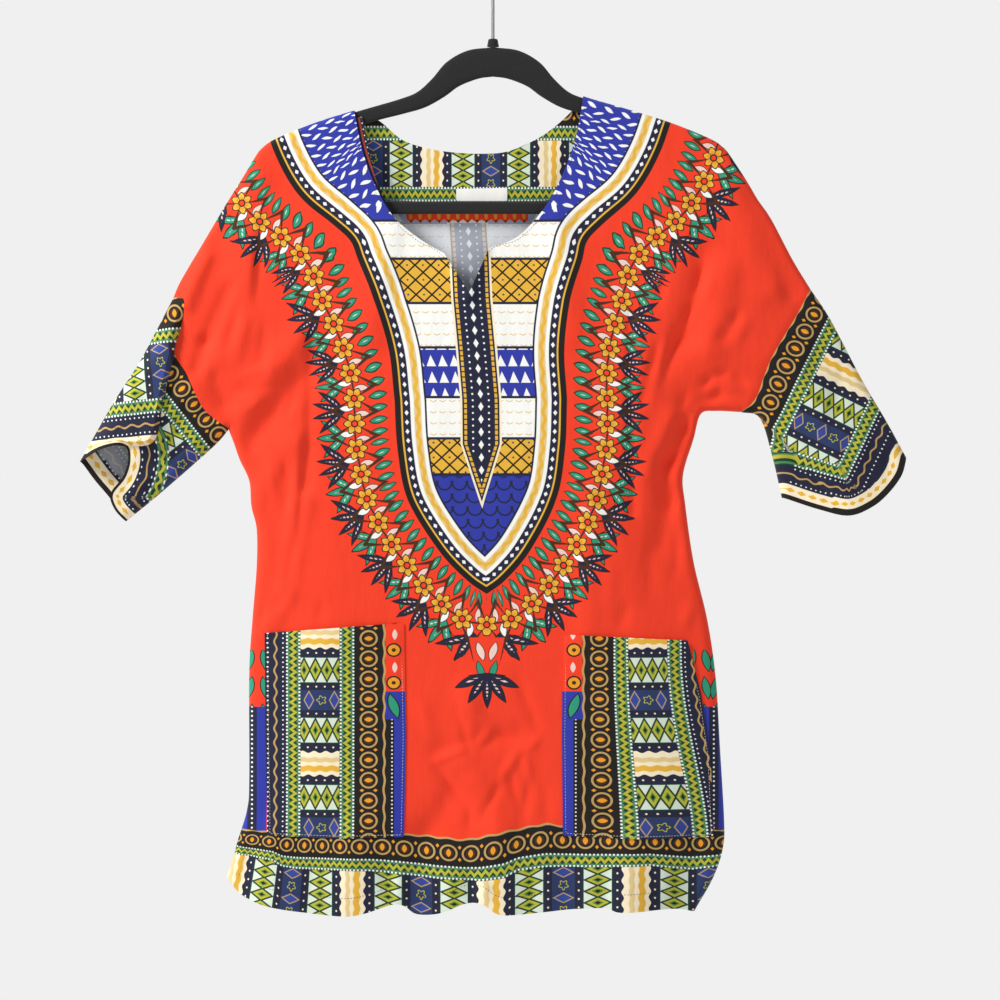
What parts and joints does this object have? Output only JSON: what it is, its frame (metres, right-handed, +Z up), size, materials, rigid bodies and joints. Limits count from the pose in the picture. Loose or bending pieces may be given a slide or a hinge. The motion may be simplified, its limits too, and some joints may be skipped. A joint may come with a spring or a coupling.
{
  "type": "dashiki shirt on a hanger",
  "caption": "Printed cotton dashiki shirt with short drop-shoulder sleeves, a slit neck and patch pockets, hanging flat on a slim flocked hanger with a wire hook.",
  "frame": {"origin": "where the inner top of the hook bears on a rail", "axes": "+Z up, -Y out of the shirt's front, +X towards the wearer's left"},
  "size_m": [0.7852, 0.0468, 0.9201],
  "materials": {
    "main_print": "plain-weave cotton with a wax-style print",
    "border_print": "plain-weave cotton, border print",
    "facing": "plain-weave cotton, navy",
    "label": "woven satin tape, blank",
    "flock": "black flocked plastic",
    "hook_wire": "bright steel wire"
  },
  "bodies": {
    "root": {"front": "main_print", "back": "main_print", "sleeve_right": "border_print", "sleeve_left": "border_print", "pocket_right": "border_print", "pocket_left": "border_print", "neck_facing_back": "border_print", "neck_facing_front": "facing", "neck_label": "label", "hanger_frame": "flock", "hanger_collar": "flock", "hanger_hook": "hook_wire"}
  },
  "joints": []
}
